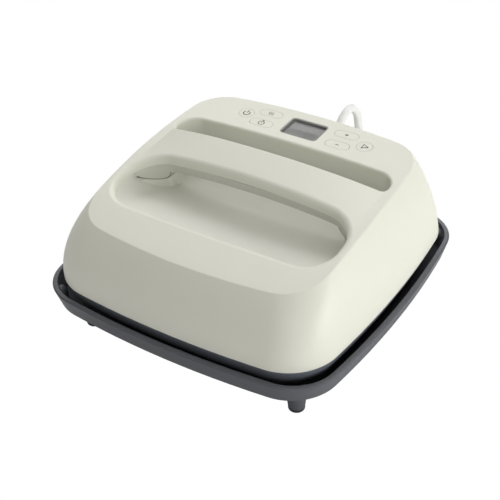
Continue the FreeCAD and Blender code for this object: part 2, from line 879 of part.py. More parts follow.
def heating_element():
    """Sheathed element in its ridge, with a terminal pin standing at each end."""
    pieces = [tube_along(winding_path(element_end_x, element_axis_z), element_radius)]
    for x in (-terminal_spread, terminal_spread):
        pieces.append(
            upright(terminal_radius, element_axis_z, flange_top + terminal_height, x, element_outer_run)
        )
    return joined(pieces)


def heat_plate():
    """Cast plate with a flat pressing face and a grooved ridge that carries the element."""
    slab = rounded_block(
        plate_half_width, plate_half_width, plate_corner_radius, plate_bottom, plate_top
    )
    rim_edges = [e for e in slab.Edges if not is_upright(e)]
    slab = slab.makeChamfer(plate_edge_chamfer, rim_edges)
    ridge = winding_bar(ridge_end_x, ridge_width, plate_top - ridge_root, ridge_top)
    plate = slab.fuse(ridge).cut(heating_element())
    plate = plate.cut(winding_bar(element_end_x, 2 * element_radius, element_axis_z, flange_top))
    for x, y in four_corners(standoff_spread, standoff_spread):
        plate = plate.cut(upright(plate_screw_radius, plate_top - plate_screw_depth, plate_top, x, y))
    return plate


def insulation_blanket():
    """Ceramic fibre mat over the plate, pierced for the spacers, terminals, sensor and fuse."""
    mat = rounded_block(
        blanket_half_width, blanket_half_width, flange_opening_radius, ridge_top, flange_top
    )
    for x, y in four_corners(standoff_spread, standoff_spread):
        mat = mat.cut(upright(standoff_radius + pocket_gap, 0, flange_top, x, y))
    for x in (-terminal_spread, terminal_spread):
        mat = mat.cut(upright(terminal_radius + pocket_gap, 0, flange_top, x, element_outer_run))
    return mat


def heat_shield():
    """Sheet steel cover over the mat, clamped on the spacers and resting on the skirt's flange."""
    sheet = rounded_block(
        shield_half_width, shield_half_width, shield_corner_radius,
        flange_top, flange_top + shield_thickness
    )
    for x, y in four_corners(standoff_spread, standoff_spread):
        sheet = sheet.cut(upright(plate_screw_radius + screw_hole_gap, 0, panel_height, x, y))
    for x in (-terminal_spread, terminal_spread):
        sheet = sheet.cut(upright(terminal_radius * 2, 0, panel_height, x, element_outer_run))
    return sheet


def plate_standoffs():
    """Ceramic spacers between the plate and the shield."""
    spacers = []
    for x, y in four_corners(standoff_spread, standoff_spread):
        sleeve = upright(standoff_radius, plate_top, flange_top, x, y)
        hole = upright(plate_screw_radius + screw_hole_gap, 0, panel_height, x, y)
        spacers.append(sleeve.cut(hole))
    return Part.makeCompound(spacers)


def screw(radius, length, x, y, seat, head_up=True):
    """Pan-head screw whose head bears on a seat height and whose shank runs away from it."""
    sign = -1 if head_up else 1
    shank_end = seat + sign * length
    head_end = seat - sign * screw_head_height
    shank = upright(radius, min(seat, shank_end), max(seat, shank_end), x, y)
    head = upright(radius * screw_head_ratio, min(seat, head_end), max(seat, head_end), x, y)
    rim = [e for e in head.Edges if abs(middle_of(e).z - head_end) < tolerance]
    return head.makeChamfer(screw_head_height / 3, rim).fuse(shank).removeSplitter()


def plate_screws():
    """Screws down through the shield and the spacers into the plate."""
    seat = flange_top + shield_thickness
    length = seat - plate_top + plate_screw_depth
    places = four_corners(standoff_spread, standoff_spread)
    return Part.makeCompound([screw(plate_screw_radius, length, x, y, seat) for x, y in places])


def housing_screws():
    """Screws up through the skirt's flange into the housing's bosses."""
    seat = flange_top - flange_thickness
    length = flange_thickness + housing_screw_length - screw_end_gap
    return Part.makeCompound([
        screw(housing_screw_radius, length, x, y, seat, head_up=False) for x, y in housing_boss_places()
    ])


def temperature_sensor():
    """Small sensor block clamped flat on the plate under the mat."""
    body = block(sensor_width / 2, sensor_y - sensor_length / 2, sensor_y + sensor_length / 2,
                 plate_top, plate_top + sensor_height)
    return body.makeFillet(small_rounding, [e for e in body.Edges if is_upright(e)])


def thermal_fuse():
    """Barrel fuse lying on the plate, in a saddle."""
    axis_z = plate_top + fuse_radius
    start = Vector(-fuse_length / 2, fuse_y, axis_z)
    barrel = Part.makeCylinder(fuse_radius, fuse_length, start, Vector(1, 0, 0))
    saddle = block(
        fuse_length / 4, fuse_y - fuse_radius * 2, fuse_y + fuse_radius * 2, plate_top, axis_z
    )
    return joined([barrel, saddle])


# ---------------------------------------------------------------- controls
def pill(length, width, low, high, x, v, grow=0.0):
    """Upright prism with round ends, drawn in the panel's own plane."""
    radius = width / 2 + grow
    half_run = length / 2 - width / 2
    middle = Part.makeBox(2 * half_run, 2 * radius, high - low, Vector(x - half_run, v - radius, low))
    ends = [upright(radius, low, high, x + side * half_run, v) for side in (-1, 1)]
    return joined([middle] + ends)


def key_form(key, low, high, grow):
    """Plan of one key between two heights."""
    if key.round:
        return upright(round_key_radius + grow, low, high, key.x, key.v)
    return pill(pill_length, pill_width, low, high, key.x, key.v, grow)


Key = namedtuple("Key", "name x v round")
keys = [
    Key("power", -round_key_x, 0.0, True),
    Key("temperature", -left_pill_x, upper_pill_v, False),
    Key("timer", -left_pill_x, lower_pill_v, False),
    Key("plus", right_pill_x, upper_pill_v, False),
    Key("minus", right_pill_x, lower_pill_v, False),
    Key("start", round_key_x, 0.0, True),
]


def key_holes():
    """Holes in the panel for the keys."""
    return [key_form(key, -2 * housing_wall, housing_wall, key_gap) for key in keys]


def key_button(key):
    """Key cap, flush with the panel, with a retaining flange and a stem under it."""
    flange_low = -housing_wall - key_gap - key_flange_thickness
    cap = key_form(key, flange_low, 0, 0)
    flange = key_form(key, flange_low, flange_low + key_flange_thickness, key_flange_width)
    stem = upright(key_stem_radius, plunger_top_v, flange_low, key.x, key.v)
    return on_panel(joined([cap, flange, stem]))


def key_plunger(key):
    """Plunger of the switch under a key, pushed by the key's stem."""
    return on_panel(upright(plunger_radius, plunger_top_v - plunger_height, plunger_top_v, key.x, key.v))


def key_switches():
    """Six switch bodies on the board, each with a well for its plunger."""
    switches = []
    half = switch_width / 2
    for key in keys:
        body = block(half, key.v - half, key.v + half, -board_drop, switch_top_v, key.x)
        body = body.makeChamfer(switch_chamfer, [e for e in body.Edges if is_upright(e)])
        well_low = plunger_top_v - plunger_height - key_travel - plunger_gap
        well = upright(plunger_radius + plunger_gap, well_low, 0, key.x, key.v)
        switches.append(on_panel(body.cut(well)))
    return Part.makeCompound(switches)


def control_board():
    """Circuit board under the panel, screwed to four bosses."""
    board = block(
        board_half_width, board_front_v, board_rear_v, -board_drop - board_thickness, -board_drop
    )
    board = board.makeFillet(board_corner, [e for e in board.Edges if is_upright(e)])
    for x, v in four_corners(board_boss_x, board_boss_v):
        board = board.cut(upright(board_screw_radius + screw_hole_gap, -2 * board_drop, 0, x, v))
    return on_panel(board)


def board_screws():
    """Screws up through each of the two boards into its bosses."""
    small = []
    length = board_thickness + board_screw_length - screw_end_gap
    for x, v in four_corners(board_boss_x, board_boss_v):
        seat = -board_drop - board_thickness
        small.append(on_panel(screw(board_screw_radius, length, x, v, seat, head_up=False)))
    for x, y in power_boss_places():
        seat = power_board_top - board_thickness
        small.append(screw(board_screw_radius, length, x, y, seat, head_up=False))
    return Part.makeCompound(small)


def window_block(grow, low, high):
    """Rounded block on the display's plan."""
    return rounded_block(
        display_width / 2 + grow, display_height / 2 + grow, display_corner + grow, low, high
    )


def display_hole():
    """Opening in the panel for the display."""
    return window_block(0, -2 * housing_wall, housing_wall)


def lcd_frame():
    """Dark bezel that lines the display opening, with a flange behind the panel."""
    flange_low = -housing_wall - bezel_flange
    lining = window_block(-key_gap, flange_low, -bezel_drop)
    flange = window_block(bezel_flange, flange_low, -housing_wall)
    seat = window_block(-key_gap - bezel_wall, -window_drop - window_thickness, 0)
    sight = window_block(-key_gap - bezel_wall - window_ledge, flange_low, 0)
    return on_panel(joined([lining, flange]).cut(seat).cut(sight))


def lcd_window():
    """Clear pane seated in the bezel."""
    pane = window_block(
        -key_gap - bezel_wall - key_gap / 3, -window_drop - window_thickness, -window_drop
    )
    return on_panel(pane)


def lcd_module():
    """Display module standing on the board against the back of the bezel."""
    half_x = display_width / 2 + module_margin
    half_v = display_height / 2
    body = block(half_x, -half_v, half_v, -board_drop, -housing_wall - bezel_flange)
    glass = window_block(
        -2 * key_gap - bezel_wall - window_ledge, -housing_wall - bezel_flange,
        -window_drop - window_thickness
    )
    return on_panel(joined([body, glass]))


# ---------------------------------------------------------------- power board
def power_board():
    """Board that switches the heater, hung under the bowl."""
    low = power_board_top - board_thickness
    board = block(power_board_half_width, power_board_front, power_board_rear, low, power_board_top)
    board = board.makeFillet(board_corner, [e for e in board.Edges if is_upright(e)])
    for x, y in power_boss_places():
        board = board.cut(upright(board_screw_radius + screw_hole_gap, 0, panel_height, x, y))
    return board


def under_board(size, place):
    """Square block hung from the underside of the power board."""
    seat = power_board_top - board_thickness
    return Part.makeBox(size.x, size.y, size.z, place + Vector(0, 0, seat - size.z))


def power_parts():
    """Relay, capacitors and terminal block on the underside of the power board."""
    seat = power_board_top - board_thickness
    relay = under_board(relay_size, relay_place)
    relay = relay.makeFillet(small_rounding, [e for e in relay.Edges if is_upright(e)])
    pieces = [relay, under_board(terminal_block_size, terminal_block_place)]
    for index in range(capacitor_count):
        x = capacitor_first_x + index * capacitor_pitch
        pieces.append(upright(capacitor_radius, seat - capacitor_height, seat, x, capacitor_y))
    return Part.makeCompound(pieces)


# ---------------------------------------------------------------- mains lead
def boot_direction():
    """The way the lead leaves the housing."""
    run = lead_route[1] - lead_route[0]
    return run * (1 / run.Length)


def boot_bore(gap):
    """Hole in the rear wall for the strain relief."""
    start = boot_root - boot_direction() * boot_inside
    return Part.makeCylinder(boot_root_radius + gap, 2 * boot_inside, start, boot_direction())


def strain_relief():
    """Tapered boot held in the rear wall."""
    direction = boot_direction()
    start = boot_root - direction * boot_inside
    shank = Part.makeCylinder(boot_root_radius, boot_inside, start, direction)
    tip_length = (lead_route[0] - boot_root).Length
    taper = Part.makeCone(boot_root_radius, boot_tip_radius, tip_length, boot_root, direction)
    return joined([shank, taper])


def cord_radii():
    """Bend radius at each inner point of the route: as large as its two runs allow."""
    radii = []
    for before, corner, after in zip(lead_route, lead_route[1:], lead_route[2:]):
        half_turn = (corner - before).getAngle(after - corner) / 2
        shorter = min((corner - before).Length, (after - corner).Length)
        radii.append(bend_share * shorter / math.tan(half_turn))
    return radii


def cord_tube():
    """Free stretch of the lead, from the strain relief to the coil."""
    radii = cord_radii()
    path = rounded_path(lead_route, radii)
    tube = tube_along(path, cord_radius)
    section = math.pi * cord_radius ** 2
    print("cord bend radii:", [round(radius, 1) for radius in radii])
    print("cord length:", round(path.Length, 1), "volume over section times length:",
          round(tube.Volume / (section * path.Length), 4))
    return tube


def cord_coil():
    """Closed outer shape of the coiled rest of the lead, with a stub at each end."""
    inner = coil_outer_turn - coil_pitch * coil_turns_each_layer - cord_radius
    outer = coil_outer_turn + cord_radius
    high = upper_turn_z + cord_radius
    low = cord_lie - cord_radius
    ring = upright(outer, low, high).cut(upright(inner, 0, panel_height))
    ring = ring.makeFillet(coil_edge_radius, [e for e in ring.Edges if not is_upright(e)])
    ring.translate(coil_centre)
    tangent_y = coil_centre.y + coil_outer_turn
    arriving = Part.makeCylinder(
        cord_radius, coil_lead, Vector(coil_centre.x, tangent_y, cord_lie), Vector(1, 0, 0)
    )
    leaving = Part.makeCylinder(
        cord_radius, plug_lead, Vector(coil_centre.x, tangent_y, upper_turn_z), Vector(-1, 0, 0)
    )
    return joined([ring, arriving, leaving])


def plug_rear():
    """Where the lead enters the plug."""
    return Vector(coil_centre.x - plug_lead, coil_centre.y + coil_outer_turn, upper_turn_z)


def mains_plug():
    """Moulded plug lying on the floor, with its own tapered boot."""
    rear = plug_rear()
    boot = Part.makeCone(
        cord_radius + plug_boot_wall, cord_radius * 2, plug_boot_length, rear, Vector(-1, 0, 0)
    )
    height = 2 * upper_turn_z
    face_x = rear.x - plug_boot_length - plug_body_length
    body = Part.makeBox(plug_body_length, plug_body_width, height,
                        Vector(face_x, rear.y - plug_body_width / 2, 0))
    long_edges = [e for e in body.Edges if e.BoundBox.XLength > tolerance]
    body = body.makeFillet(plug_corner, long_edges)
    body = joined([body, boot])
    return body.cut(plug_pin_forms())


def plug_pin_forms():
    """Two flat blades and a round earth pin, set into the plug's face."""
    rear = plug_rear()
    face_x = rear.x - plug_boot_length - plug_body_length
    sunk = plug_body_length / 4
    blades = []
    for side in (-1, 1):
        blades.append(Part.makeBox(
            blade_length + sunk, blade_thickness, blade_width,
            Vector(face_x - blade_length, rear.y + side * blade_spacing / 2 - blade_thickness / 2,
                   rear.z - blade_offset + earth_pin_offset / 2)
        ))
    pin = Part.makeCylinder(
        earth_pin_radius, earth_pin_length + sunk,
        Vector(face_x - earth_pin_length, rear.y, rear.z - earth_pin_offset), Vector(1, 0, 0)
    )
    return blades + [pin]


# ---------------------------------------------------------------- write every sub-part
os.makedirs("parts", exist_ok=True)
parts = {
    "base_tray": base_tray(),
    "foot_pads": foot_pads(),
    "rest_pads": rest_pads(),
    "top_housing": top_housing(),
    "pocket_liner": pocket_liner(),
    "handle_grip": handle_grip(),
    "lower_skirt": lower_skirt(),
    "heat_plate": heat_plate(),
    "heating_element": heating_element(),
    "insulation_blanket": insulation_blanket(),
    "heat_shield": heat_shield(),
    "plate_standoffs": plate_standoffs(),
    "plate_screws": plate_screws(),
    "housing_screws": housing_screws(),
    "temperature_sensor": temperature_sensor(),
    "thermal_fuse": thermal_fuse(),
    "control_board": control_board(),
    "key_switches": key_switches(),
    "lcd_frame": lcd_frame(),
    "lcd_window": lcd_window(),
    "lcd_module": lcd_module(),
    "board_screws": board_screws(),
    "power_board": power_board(),
    "power_parts": power_parts(),
    "strain_relief": strain_relief(),
    "cord_tube": cord_tube(),
    "cord_coil": cord_coil(),
    "mains_plug": mains_plug(),
    "plug_pins": Part.makeCompound(plug_pin_forms()),
}
for key in keys:
    parts[key.name + "_button"] = key_button(key)
    parts[key.name + "_plunger"] = key_plunger(key)
for name, shape in parts.items():
    write(name, shape)
    print(name, "valid" if shape.isValid() else "INVALID", len(shape.Solids), round(shape.Volume))
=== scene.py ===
import json
import math

import bpy
from mathutils import Matrix, Vector


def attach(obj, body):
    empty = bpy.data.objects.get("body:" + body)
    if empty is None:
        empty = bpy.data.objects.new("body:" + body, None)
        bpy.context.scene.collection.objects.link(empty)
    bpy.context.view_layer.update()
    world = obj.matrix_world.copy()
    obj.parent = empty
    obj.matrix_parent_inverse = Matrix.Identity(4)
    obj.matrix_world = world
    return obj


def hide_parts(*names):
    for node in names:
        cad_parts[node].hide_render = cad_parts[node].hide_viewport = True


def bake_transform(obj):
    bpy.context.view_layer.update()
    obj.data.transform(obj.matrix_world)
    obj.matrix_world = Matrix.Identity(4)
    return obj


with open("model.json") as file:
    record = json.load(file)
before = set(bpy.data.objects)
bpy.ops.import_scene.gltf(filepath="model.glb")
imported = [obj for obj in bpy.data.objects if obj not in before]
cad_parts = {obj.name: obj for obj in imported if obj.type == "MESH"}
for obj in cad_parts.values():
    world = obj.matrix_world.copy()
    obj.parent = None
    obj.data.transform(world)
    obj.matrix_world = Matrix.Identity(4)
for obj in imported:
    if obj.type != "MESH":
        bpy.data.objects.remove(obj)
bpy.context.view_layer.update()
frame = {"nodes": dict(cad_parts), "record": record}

# Looks of the heat press: light and camera, the mains lead, the finishes, and the fine pieces on top
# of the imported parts. Metres, +Z up, the floor at z = 0, the user at -Y.

scene = bpy.context.scene
scene.view_settings.view_transform = "Standard"

MM = 0.001

# ---------------------------------------------------------------- camera and light
camera_azimuth = math.radians(33.65)
camera_elevation = math.radians(35.9)
camera_roll = math.radians(-1.74)
camera_distance = 0.98
camera_aim_right = -4.58 * MM
camera_aim_up = 43.57 * MM
camera_lens = 77.04

world_light = 0.09
lamp_height_aim = 0.06

# ---------------------------------------------------------------- surfaces
plastic_grain = 0.35 * MM
plastic_relief = 0.012 * MM
plastic_mottle = 30.0 * MM
plate_coat_top = 25.6 * MM

# ---------------------------------------------------------------- control panel, repeated from the solid part
panel_middle = Vector((0.0, 85.0, 134.2)) * MM
key_face_lift = 0.03 * MM
symbol_line_widths = {
    "power": 1.0 * MM, "temperature": 0.6 * MM, "timer": 0.75 * MM,
    "plus": 0.95 * MM, "minus": 0.95 * MM, "start": 1.35 * MM,
}
symbol_line_height = 0.12 * MM
panel_tilt = math.radians(3.03)
round_key_x = 61.0 * MM
left_pill_x = 40.0 * MM
right_pill_x = 38.4 * MM
upper_pill_v = 9.2 * MM
lower_pill_v = -8.4 * MM

# ---------------------------------------------------------------- handle, repeated from the solid part
crown_start_y = 54.0 * MM
crown_radius = 950.0 * MM
arch_half_span = 106.4 * MM
arch_rise = 8.0 * MM
arch_rise_per_y = 0.17
lip_depth = 8.0 * MM
lip_bottom = 126.2 * MM
grip_lean = math.radians(18.0)
grip_front = -7.3 * MM
grip_half_width = 107.4 * MM
grip_corner = 30.4 * MM
lobe_x = 95.5 * MM
lobe_z = 111.7 * MM
lobe_radius = 11.0 * MM
lobe_top_z = 110.5 * MM
# Width and inset from the surface of the band of painted shade along each lobe's round seam.
lobe_shade_width = 0.65 * MM
lobe_skin = 0.03 * MM
# Radius and drop of the dark tube that stands for the shadow in the joint under the lip.
seam_line_radius = 0.3 * MM
seam_line_drop = 0.5 * MM

# ---------------------------------------------------------------- mains lead, repeated from the solid part
cord_diameter = 7.5 * MM
cord_lie = 3.9 * MM
coil_centre = Vector((-69.0, 198.0, 0.0)) * MM
coil_outer_turn = 48.7 * MM
coil_turns_each_layer = 2.5
coil_pitch = 7.7 * MM
coil_layer_rise = 7.6 * MM
coil_points_per_turn = 16
coil_climb_turns = 0.35
plug_lead = 36.0 * MM
lead_route = [
    (9.0, 132.8, 114.9), (9.0, 142.7, 124.8), (9.0, 159.3, 124.8), (9.0, 171.0, 113.1),
    (9.5, 173.5, 95.0), (12.0, 175.0, 72.0), (16.0, 181.0, 48.0), (20.0, 191.5, 28.0),
    (19.5, 213.0, 12.5), (5.5, 233.5, 3.9), (-17.0, 246.7, 3.9), (-41.0, 246.7, 3.9),
]


def srgb(red, green, blue):
    """Linear colour of a paint named by its usual 0 to 255 values."""
    def linear(value):
        share = value / 255
        return share / 12.92 if share <= 0.04045 else ((share + 0.055) / 1.055) ** 2.4
    return (linear(red), linear(green), linear(blue), 1.0)


# ---------------------------------------------------------------- materials
class Wire:
    """An output of a material's node tree that takes part in Python sums."""

    def __init__(self, paint, socket):
        self.paint = paint
        self.socket = socket

    def sum_with(self, operation, left, right):
        return self.paint.node("Math", {"operation": operation}, {0: left, 1: right})

    def __add__(self, other):
        return self.sum_with("ADD", self, other)

    def __sub__(self, other):
        return self.sum_with("SUBTRACT", self, other)

    def __rsub__(self, other):
        return self.sum_with("SUBTRACT", other, self)

    def __mul__(self, other):
        return self.sum_with("MULTIPLY", self, other)

    def __gt__(self, other):
        return self.sum_with("GREATER_THAN", self, other)

    def __lt__(self, other):
        return self.sum_with("LESS_THAN", self, other)


class Paint:
    """A procedural material: a Principled shader and the nodes that feed it."""

    def __init__(self, name, **constants):
        self.material = bpy.data.materials.new(name)
        self.material.use_nodes = True
        self.tree = self.material.node_tree
        self.shader = self.tree.nodes["Principled BSDF"]
        for socket, value in constants.items():
            self.shader.inputs[socket.replace("_", " ")].default_value = value
        self.place = self.node("TexCoord", output="Object")

    def node(self, kind, settings=None, sockets=None, output=0):
        """Any node by its type, with its settings made first and its sockets valued or wired."""
        node = self.tree.nodes.new("ShaderNode" + kind)
        for setting, value in (settings or {}).items():
            setattr(node, setting, value)
        for socket, value in (sockets or {}).items():
            if isinstance(value, Wire):
                self.tree.links.new(value.socket, node.inputs[socket])
            else:
                node.inputs[socket].default_value = value
        return Wire(self, node.outputs[output])

    def noise(self, size, detail=2.0, roughness=0.5):
        """Noise from 0 to 1 whose grain has about a given size in metres."""
        return self.node("TexNoise", None, {
            "Vector": self.place, "Scale": 1 / size, "Detail": detail, "Roughness": roughness
        })

    def between(self, factor, first, second):
        """Colour that runs from the first to the second."""
        return self.node("Mix", {"data_type": "RGBA"}, {0: factor, 6: first, 7: second}, output=2)

    def feed(self, socket, wire):
        self.tree.links.new(wire.socket, self.shader.inputs[socket])

    def bump(self, height, depth, strength=1.0):
        """Surface relief from a height wire, with its depth in metres."""
        self.feed("Normal", self.node("Bump", None, {
            "Strength": strength, "Distance": depth, "Height": height
        }))


def moulded_grain(paint, mottle, roughness):
    """Sheen that drifts with the mottle, and a fine spark-eroded grain."""
    texture = paint.noise(plastic_grain)
    paint.feed("Roughness", texture * 0.10 + mottle * 0.04 + (roughness - 0.07))
    paint.bump(texture, plastic_relief, 0.35)


def moulded_plastic(name, colour, shade, roughness=0.42):
    """Moulded plastic with a faint mottle in its colour."""
    paint = Paint(name, IOR=1.46)
    mottle = paint.noise(plastic_mottle, detail=3.0)
    paint.feed("Base Color", paint.between(mottle, colour, shade))
    moulded_grain(paint, mottle, roughness)
    return paint.material


def grip_material():
    """Satin plastic of the handle's grip, a darker copy of the shell's as painted shade for its down-leaning
    face, with painted shade in a dark band along the round seam of each end.
    """
    paint = Paint("shaded_grip_plastic", IOR=1.46)
    x = paint.node("SeparateXYZ", None, {"Vector": paint.place}, output=0)
    z = paint.node("SeparateXYZ", None, {"Vector": paint.place}, output=2)
    across = paint.node("Math", {"operation": "ABSOLUTE"}, {0: x}) - lobe_x
    down = z - lobe_z
    spread = paint.node("Math", {"operation": "SQRT"}, {0: across * across + down * down})
    # Painted shade: a thin dark band just inside each lobe's round seam, below its top, where the joint's
    # shadow falls.
    in_shade_band = (spread > lobe_radius - lobe_shade_width) * (spread < lobe_radius - lobe_skin)
    seam_shade = in_shade_band * (z < lobe_top_z)
    mottle = paint.noise(plastic_mottle, detail=3.0)
    # The grip's colour is a darker copy of the shell's plastic: painted shade for its face that leans down
    # and in.
    body = paint.between(mottle, srgb(212, 212, 202), srgb(208, 208, 198))
    paint.feed("Base Color", paint.between(seam_shade, body, srgb(112, 112, 101)))
    moulded_grain(paint, mottle, 0.55)
    return paint.material


def rubber(name, colour, shade):
    """Matt rubber with a dusty bloom."""
    paint = Paint(name, IOR=1.5)
    bloom = paint.noise(4 * MM, detail=5.0)
    paint.feed("Base Color", paint.between(bloom, colour, shade))
    paint.feed("Roughness", bloom * 0.2 + 0.62)
    paint.bump(paint.noise(0.5 * MM), 0.02 * MM, 0.5)
    return paint.material


def brushed_metal(name, colour, shade, roughness=0.3, stretch=(1.0, 14.0, 14.0)):
    """Metal with fine drawn lines along x."""
    paint = Paint(name, Metallic=1.0)
    drawn = paint.node("Mapping", None, {"Vector": paint.place, "Scale": stretch})
    lines = paint.node("TexNoise", None, {"Vector": drawn, "Scale": 1 / (2 * MM), "Detail": 3.0})
    smear = paint.noise(12 * MM, detail=4.0)
    paint.feed("Base Color", paint.between(smear, colour, shade))
    paint.feed("Roughness", lines * 0.18 + smear * 0.08 + (roughness - 0.1))
    paint.bump(lines, 0.008 * MM, 0.4)
    return paint.material


def pressing_face():
    """Cast aluminium whose level underside carries a dark speckled non-stick coat."""
    paint = Paint("cast_plate", IOR=1.5)
    height = paint.node("SeparateXYZ", None, {"Vector": paint.place}, output=2)
    coated = height < plate_coat_top
    speck = paint.noise(0.8 * MM, detail=1.0) > 0.62
    coat = paint.between(speck, srgb(62, 62, 64), srgb(104, 104, 106))
    cast = paint.noise(1.2 * MM, detail=4.0)
    bare = paint.between(cast, srgb(150, 150, 150), srgb(186, 186, 185))
    paint.feed("Base Color", paint.between(coated, bare, coat))
    paint.feed("Metallic", (1 - coated) * 0.9)
    paint.feed("Roughness", cast * 0.2 + 0.34)
    paint.bump(cast, 0.03 * MM, 0.4)
    return paint.material


def fibre_mat():
    """Off-white ceramic fibre."""
    paint = Paint("fibre_mat")
    tangle = paint.noise(1.5 * MM, detail=8.0, roughness=0.7)
    paint.feed("Base Color", paint.between(tangle, srgb(238, 236, 228), srgb(205, 202, 192)))
    paint.feed("Roughness", tangle * 0.1 + 0.88)
    paint.bump(tangle, 0.6 * MM, 0.8)
    return paint.material


def circuit_board():
    """Green board with lighter tracks under its varnish."""
    paint = Paint("circuit_board", IOR=1.5)
    cells = paint.node("TexVoronoi", {"feature": "DISTANCE_TO_EDGE", "distance": "MANHATTAN"},
                       {"Vector": paint.place, "Scale": 1 / (6 * MM)})
    track = cells < 0.06
    paint.feed("Base Color", paint.between(track, srgb(22, 82, 46), srgb(48, 122, 70)))
    paint.feed("Roughness", track * 0.08 + 0.3)
    paint.bump(track, 0.03 * MM, 0.5)
    return paint.material


def clear_pane():
    """Clear display pane: mostly see-through, with a faint smoky haze."""
    paint = Paint("clear_pane", IOR=1.46, Base_Color=srgb(60, 62, 64))
    haze = paint.noise(20 * MM)
    paint.feed("Alpha", haze * 0.03 + 0.10)
    paint.feed("Roughness", haze * 0.04 + 0.08)
    return paint.material


def display_glass():
    """Grey liquid-crystal face, switched off, with a faint cloud in its tone."""
    paint = Paint("display_glass", IOR=1.5)
    cloud = paint.noise(26 * MM, detail=1.0)
    paint.feed("Base Color", paint.between(cloud, srgb(158, 159, 155), srgb(148, 149, 145)))
    paint.feed("Roughness", cloud * 0.1 + 0.3)
    return paint.material


def cord_jacket():
    """Smooth satin jacket of the lead."""
    paint = Paint("cord_jacket", IOR=1.5, Coat_Weight=0.0)
    drift = paint.noise(18 * MM, detail=3.0)
    paint.feed("Base Color", paint.between(drift, srgb(240, 240, 238), srgb(229, 229, 226)))
    paint.feed("Roughness", drift * 0.1 + 0.36)
    paint.bump(paint.noise(1.0 * MM), 0.01 * MM, 0.4)
    return paint.material


finishes = {
    "shell_plastic": moulded_plastic("shell_plastic", srgb(226, 226, 212), srgb(223, 223, 209)),
    "base_plastic": moulded_plastic("base_plastic", srgb(90, 92, 97), srgb(84, 86, 91), 0.45),
    # The skirt's paint is partly the plastic's own blue-grey and partly painted light: it is lighter than its
    # dark grey plastic, standing in for the floor's bounce that the rim hides from it.
    "skirt_plastic": moulded_plastic("skirt_plastic", srgb(112, 116, 124), srgb(106, 110, 118), 0.4),
    "rubber": rubber("foot_rubber", srgb(44, 45, 48), srgb(56, 57, 60)),
    "silicone": rubber("silicone", srgb(96, 98, 102), srgb(108, 110, 114)),
    "plate": pressing_face(),
    "sheath": brushed_metal("heater_sheath", srgb(150, 144, 136), srgb(120, 108, 98), 0.4),
    "blanket": fibre_mat(),
    "sheet_steel": brushed_metal("sheet_steel", srgb(188, 190, 192), srgb(172, 174, 176)),
    "ceramic": moulded_plastic("ceramic", srgb(236, 232, 220), srgb(228, 222, 208), 0.3),
    "screw_steel": brushed_metal("screw_steel", srgb(176, 178, 180), srgb(158, 160, 162), 0.25),
    "board": circuit_board(),
    "black_plastic": moulded_plastic("black_plastic", srgb(34, 35, 37), srgb(28, 29, 31), 0.4),
    "clear_window": clear_pane(),
    "display": display_glass(),
    "cord_jacket": cord_jacket(),
    "pin_brass": brushed_metal("pin_brass", srgb(206, 178, 110), srgb(190, 160, 92), 0.22),
}


bowl_plastic = moulded_plastic("bowl_plastic", srgb(226, 226, 216), srgb(222, 222, 212), 0.5)
shaded_grip_plastic = grip_material()
display_bezel = moulded_plastic("display_bezel", srgb(150, 151, 147), srgb(144, 145, 141), 0.45)
symbol_ink = moulded_plastic("symbol_ink", srgb(48, 50, 48), srgb(42, 44, 42), 0.5)
seam_shadow = moulded_plastic("seam_shadow", srgb(96, 96, 86), srgb(90, 90, 80), 0.7)


def finish_piece(piece, slot, body, material=None):
    """Give a new piece its finish and the body that it moves with."""
    piece.data.materials.clear()
    piece.data.materials.append(material or finishes[slot])
    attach(piece, body)


# ---------------------------------------------------------------- camera, floor and lamps
def add_camera():
    """Camera at the product's usual three-quarter view."""
    away = Vector((
        math.sin(camera_azimuth) * math.cos(camera_elevation),
        -math.cos(camera_azimuth) * math.cos(camera_elevation),
        math.sin(camera_elevation),
    ))
    level = Vector((math.cos(camera_azimuth), math.sin(camera_azimuth), 0))
    rise = away.cross(level)
    right = level * math.cos(camera_roll) + rise * math.sin(camera_roll)
    up = rise * math.cos(camera_roll) - level * math.sin(camera_roll)
    place = away * camera_distance + level * camera_aim_right + rise * camera_aim_up
    data = bpy.data.cameras.new("view")
    data.lens = camera_lens
    camera = bpy.data.objects.new("view", data)
    camera.matrix_world = Matrix.Translation(place) @ Matrix((right, up, away)).transposed().to_4x4()
    scene.collection.objects.link(camera)
    scene.camera = camera


def add_floor():
    """Pale floor that bounces light and reads as plain white to the camera."""
    bpy.ops.mesh.primitive_plane_add(size=8.0)
    floor = bpy.context.object
    floor.name = "floor"
    paint = Paint("floor_white")
    paint.shader.inputs["Base Color"].default_value = srgb(244, 244, 244)
    paint.shader.inputs["Roughness"].default_value = 0.9
    white = paint.node("Emission", None, {"Color": (1, 1, 1, 1), "Strength": 1.0})
    seen = paint.node("LightPath", output="Is Camera Ray")
    mixed = paint.node("MixShader", None, {
        0: seen, 1: Wire(paint, paint.shader.outputs[0]), 2: white
    })
    paint.tree.links.new(mixed.socket, paint.tree.nodes["Material Output"].inputs["Surface"])
    floor.data.materials.append(paint.material)


def add_area_lamp(name, place, width, height, power):
    """Soft square-cornered lamp aimed at the object."""
    data = bpy.data.lights.new(name, "AREA")
    data.shape = "RECTANGLE"
    data.size = width
    data.size_y = height
    data.energy = power
    lamp = bpy.data.objects.new(name, data)
    lamp.location = place
    aim = Vector((0, 0, lamp_height_aim))
    lamp.rotation_euler = (Vector(place) - aim).to_track_quat("Z", "Y").to_euler()
    scene.collection.objects.link(lamp)


